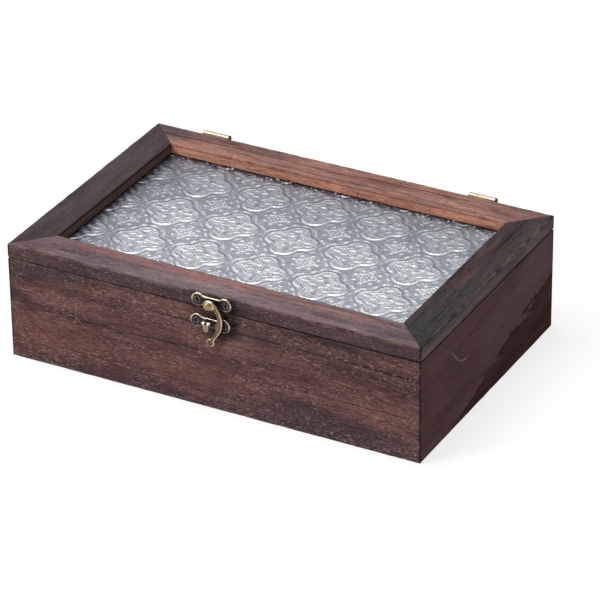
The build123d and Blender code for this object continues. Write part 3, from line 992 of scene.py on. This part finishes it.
def stamped_plate(name, low, high):
    """Two-lobed plate with two screw holes and a raised rubbed rim round a sunk face; the rim is painted
    lighter on its upper half, as lit from above.
    """
    mid_x, mid_z = (low[0] + high[0]) / 2, (low[2] + high[2]) / 2
    lobe = (high[2] - low[2]) / 2
    reach = (high[0] - low[0]) / 2 - lobe

    def outline(x, z):
        ends = np.hypot(np.abs(x - mid_x) - reach, z - mid_z) - lobe
        waist = np.maximum(np.abs(x - mid_x) - reach, np.abs(z - mid_z) - PLATE_WAIST)
        return soft_min(ends, waist, 1.2)

    def holed(x, z):
        shape = outline(x, z)
        for screw_x in (mid_x - SCREW_OFF, mid_x + SCREW_OFF):
            shape = np.maximum(shape, SCREW_HOLE - np.hypot(x - screw_x, z - mid_z))
        return shape

    def depth(_, x, z):
        inset = -outline(x, z)
        rise = smooth(-0.05, 0.28, inset)
        fall = smooth(0.62, 1.12, inset)
        return PLATE_RIM - 0.35 + 0.35 * rise - (PLATE_RIM - PLATE_FACE) * fall

    def wear_and_light(_, x, z):
        rim = 1.0 - smooth(0.525, 1.3, -outline(x, z))
        # painted light: the upper half of the rim is brighter
        upper = smooth(mid_z - 2.5, mid_z + 1.5, z)
        return rim * (0.5 + 0.5 * upper)

    return relief_plate(name, holed, low, high, 0.4, depth, PLATE_BACK, wear_and_light)


# the lug is bent out of the catch plate as a shelf and down as a lip
LUG_X = 0.3
LUG_TOP = 53.0          # upper face of the shelf
LUG_DROP = 5.3          # from there to the end of the lip
LUG_HALF_T = 0.35       # half the thickness of the metal
LUG_BEND = 0.95         # radius of the bend, along the middle of the metal
LIP_HALF_W = 1.5
LUG_ACROSS = 8          # faces across its width


def lug_path():
    """Middle line of the lug as distances from the wood and heights."""
    reach = FRONT - catch_low[1]
    shelf = LUG_TOP - LUG_HALF_T
    bend = reach - LUG_BEND - LUG_HALF_T
    path = [(0.5, shelf), (2.2, shelf), (bend, shelf)]
    for k in range(1, 7):
        a = math.pi / 2 * k / 6
        path.append((bend + LUG_BEND * math.sin(a), shelf - LUG_BEND * (1 - math.cos(a))))
    lip_top = shelf - LUG_BEND
    lip_foot = LUG_TOP - LUG_DROP
    for k in range(1, 13):
        path.append((reach - LUG_HALF_T, lip_top - (lip_top - lip_foot) * k / 12))
    return path


def lug_half_width(i, above_foot):
    """Neck at the plate, two ears on the shelf, and a lip with a rounded end."""
    if i < 2:
        return 2.0
    if i < 8:
        return 2.5
    if i > 8 and above_foot < LIP_HALF_W:
        return math.sqrt(max(0.02, LIP_HALF_W ** 2 - (LIP_HALF_W - above_foot) ** 2))
    return LIP_HALF_W


def lug_wear(i, last, across):
    """Painted highlights on the ears, bright edges, a dull shelf and a half-bright lip."""
    # painted highlights where the ears catch the light
    if 2 < i < 9 and across > 0.45:
        return 1.0
    if across > 0.8 or i > last - 2:
        return 0.66
    return 0.12 if i < 9 else 0.42


def bent_lug():
    """Tongue bent out of the catch plate, with a slightly crowned front."""
    path = lug_path()
    last = len(path) - 1
    verts, faces, wear_and_light = [], [], []
    for i, (d, z) in enumerate(path):
        d0, z0 = path[max(i - 1, 0)]
        d1, z1 = path[min(i + 1, last)]
        tx, tz = d1 - d0, z1 - z0
        length = math.hypot(tx, tz)
        nx, nz = -tz / length, tx / length
        half_w = lug_half_width(i, z - (LUG_TOP - LUG_DROP))
        for sign in (1, -1):
            for j in range(LUG_ACROSS + 1):
                t = j / LUG_ACROSS * 2 - 1
                crown = 0.12 * (1 - t * t) if sign > 0 else 0.0
                edge_in = 0.16 if abs(t) > 0.99 else 0.0
                off = sign * (LUG_HALF_T + crown - edge_in)
                verts.append((LUG_X + t * half_w, FRONT - (d + nx * off), z + nz * off))
                wear_and_light.append(lug_wear(i, last, abs(t)))
    side = LUG_ACROSS + 1
    row = 2 * side
    for i in range(last):
        for j in range(LUG_ACROSS):
            a = i * row + j
            faces.append((a, a + 1, a + row + 1, a + row))
            b = a + side
            faces.append((b, b + row, b + row + 1, b + 1))
        left = i * row
        faces.append((left, left + row, left + row + side, left + side))
        right = left + LUG_ACROSS
        faces.append((right, right + side, right + row + side, right + row))
    for i in (0, last):
        ring = [i * row + j for j in range(side)]
        ring += [i * row + side + j for j in range(LUG_ACROSS, -1, -1)]
        faces.append(tuple(ring) if i else tuple(reversed(ring)))
    return new_mesh("catch_lug_bent", verts, faces, wear_and_light, 50.0)


# hook, in millimetres right of and above the rivet: (right, up, half width) along its middle
HOOK_SPINE = [
    (1.5, 0.7, 2.0), (4.0, -0.9, 1.5), (5.7, -3.2, 1.25), (6.6, -6.0, 1.25),
    (6.6, -8.6, 1.5), (6.2, -10.8, 1.75), (5.7, -13.0, 1.5), (4.8, -15.2, 1.15),
    (3.5, -17.4, 1.0), (1.9, -19.7, 1.15),
]
HOOK_EYE = 2.9
KNOB_U, KNOB_V, KNOB_R = 1.0, -21.3, 2.3


def hook_sdf(x, z):
    """Distance to the outline of the crescent with its eye, beak and finger knob."""
    u = x - PIVOT_X
    v = z - PIVOT_Z
    shape = np.hypot(u, v) - HOOK_EYE
    for (au, av, ra), (bu, bv, rb) in zip(HOOK_SPINE[:-1], HOOK_SPINE[1:]):
        shape = np.minimum(shape, capsule(u, v, (au, av), (bu, bv), ra, rb))
    beak = capsule(u, v, (5.9, -10.4), (1.2, -11.0), 1.5, 0.3)
    shape = soft_min(shape, beak, 0.8)
    knob = np.hypot(u - KNOB_U, v - KNOB_V) - KNOB_R
    return soft_min(shape, knob, 0.5)


def hook_depth(s, x, z):
    """Rounded edges, and a shallow dish in the finger knob."""
    edge = 1 - np.clip(-s, 0, 1)
    crown = np.sqrt(np.clip(1 - edge ** 2, 0, 1))
    knob = np.hypot(x - PIVOT_X - KNOB_U, z - PIVOT_Z - KNOB_V + 0.1)
    dish = 0.22 * smooth(1.5, 0.9, knob)
    return HOOK_FRONT - 0.55 + 0.55 * crown - dish


def hook_wear(s, x, z):
    """Bright eye, inner edge and knob rim, and painted shade on the beak."""
    u = x - PIVOT_X
    v = z - PIVOT_Z
    edge = 1.0 - smooth(0.15, 0.7, -s)
    outer = smooth(-1.0, 1.5, hook_sdf(x - 0.9, z) - hook_sdf(x + 0.9, z))
    eye = 1.0 - smooth(2.6, 4.4, np.hypot(u, v))
    # painted shade on the beak
    beak = smooth(4.8, 3.2, u) * smooth(1.8, 1.0, np.abs(v + 10.8))
    off_knob = smooth(2.0, 3.4, np.hypot(u - KNOB_U, v - KNOB_V))
    return np.clip(0.38 + 0.5 * edge * (1 - outer * off_knob) + 0.4 * eye - 0.5 * beak, 0.0, 1.0)


finish_piece(
    stamped_plate("latch_plate_stamped", plate_low, plate_high),
    "latch_plate", "lid", bronze("bronze_plate", 3.0))
finish_piece(
    stamped_plate("catch_plate_stamped", catch_low, catch_high),
    "catch_plate", "base", bronze("bronze_catch", 8.0))
finish_piece(
    bent_lug(), "catch_plate", "base",
    bronze("bronze_lug", 11.0, mid=(150, 138, 116), bright=(226, 214, 170)))
finish_piece(
    relief_plate("latch_hook_cast", hook_sdf, hook_low, hook_high, 0.8, hook_depth, HOOK_BACK, hook_wear),
    "latch_hook", "hook",
    bronze("bronze_hook", 14.0, mid=(118, 100, 80), bright=(218, 204, 168)))
dress(["latch_rivet"],
      bronze("bronze_rivet", 21.0, dark=(108, 94, 60), mid=(176, 160, 114), bright=(234, 224, 178),
             polish=0.32))

# places of the barrel ends that get painted shade
shaded_barrel_ends = [float(box_mm(name)[1][0]) for name in ("hinge_left_body_leaf", "hinge_right_body_leaf")]
dress(["hinge_left_body_leaf", "hinge_right_body_leaf", "hinge_left_lid_leaf",
       "hinge_right_lid_leaf", "hinge_body_screws", "hinge_lid_screws"],
      brass("hinge_brass_metal", 5.0, shaded_barrel_ends))
screw_face = float(box_mm("latch_plate_screws")[0][1])
dress(["latch_plate_screws", "catch_plate_screws"], black_metal("screw_black_metal", 9.0, screw_face))
dress(["hinge_left_pin", "hinge_right_pin"], black_metal("pin_black_metal", 10.0))


# --------------------------------------------------------------------- stage
FLOOR_HALF = 4000.0
FLOOR_Z = -0.05
LIGHT_TARGET = (0, 0, 0.03)


def make_stage():
    """White paper ground that glows a little, so it stays white beside the box."""
    corners = [(-1, -1), (1, -1), (1, 1), (-1, 1)]
    verts = [(x * FLOOR_HALF, y * FLOOR_HALF, FLOOR_Z) for x, y in corners]
    floor = new_mesh("studio_floor", verts, [(0, 1, 2, 3)])
    m = Nodes("studio_floor_paper")
    speck = m.noise(m.stretched("x", 6.0, 6.0, 1.0), 2.0, 0.5)
    m.put("Base Color", m.ramp(speck, [
        (0.3, (0.24, 0.24, 0.24, 1)),
        (0.7, (0.26, 0.26, 0.26, 1)),
    ]))
    m.put("Emission Color", (1.0, 1.0, 1.0, 1.0))
    m.put("Emission Strength", 0.76)
    m.put("Roughness", 0.95)
    m.put("Specular IOR Level", 0.1)
    floor.data.materials.append(m.mat)


def area_light(name, place, size, power):
    """Square soft light that faces the box. Metres and watts."""
    data = bpy.data.lights.new(name, "AREA")
    data.shape = "SQUARE"
    data.size = size
    data.energy = power
    light = bpy.data.objects.new(name, data)
    light.location = place
    aim = Vector(LIGHT_TARGET) - Vector(place)
    light.rotation_euler = aim.to_track_quat("-Z", "Y").to_euler()
    bpy.context.scene.collection.objects.link(light)


def make_world():
    """Even white light from all sides."""
    world = bpy.data.worlds.new("studio_world")
    world.use_nodes = True
    background = world.node_tree.nodes["Background"]
    background.inputs["Color"].default_value = (1.0, 1.0, 1.0, 1.0)
    background.inputs["Strength"].default_value = 0.28
    bpy.context.scene.world = world


make_stage()
make_world()
area_light("overhead", (-0.25, -0.1, 1.7), 1.1, 24.0)
area_light("key_front_left", (-1.3, -1.7, 1.4), 0.45, 30.0)


# -------------------------------------------------------------------- camera
CAMERA_TURN = math.radians(28.42)       # to the right of straight in front
CAMERA_RISE = math.radians(29.37)
CAMERA_ROLL = math.radians(-0.69)
CAMERA_DISTANCE = 1.963
CAMERA_SHIFT = (0.0089, -0.0079)        # metres to the right and up
LENS = 223.5


def make_camera():
    """Front right view from above, as the object is shown."""
    level = math.cos(CAMERA_RISE)
    back = Vector((math.sin(CAMERA_TURN) * level, -math.cos(CAMERA_TURN) * level, math.sin(CAMERA_RISE)))
    right = Vector((math.cos(CAMERA_TURN), math.sin(CAMERA_TURN), 0.0))
    up = back.cross(right)
    x_axis = right * math.cos(CAMERA_ROLL) + up * math.sin(CAMERA_ROLL)
    y_axis = -right * math.sin(CAMERA_ROLL) + up * math.cos(CAMERA_ROLL)
    aim = Vector((0, 0, LID_TOP * MM / 2))
    place = aim + back * CAMERA_DISTANCE + right * CAMERA_SHIFT[0] + up * CAMERA_SHIFT[1]
    data = bpy.data.cameras.new("camera")
    data.sensor_width = 36.0
    data.lens = LENS
    data.clip_end = 50.0
    camera = bpy.data.objects.new("camera", data)
    turn = Matrix((x_axis, y_axis, back)).transposed()
    camera.matrix_world = Matrix.Translation(place) @ turn.to_4x4()
    bpy.context.scene.collection.objects.link(camera)
    bpy.context.scene.camera = camera


make_camera()
bpy.context.scene.view_settings.view_transform = "Standard"
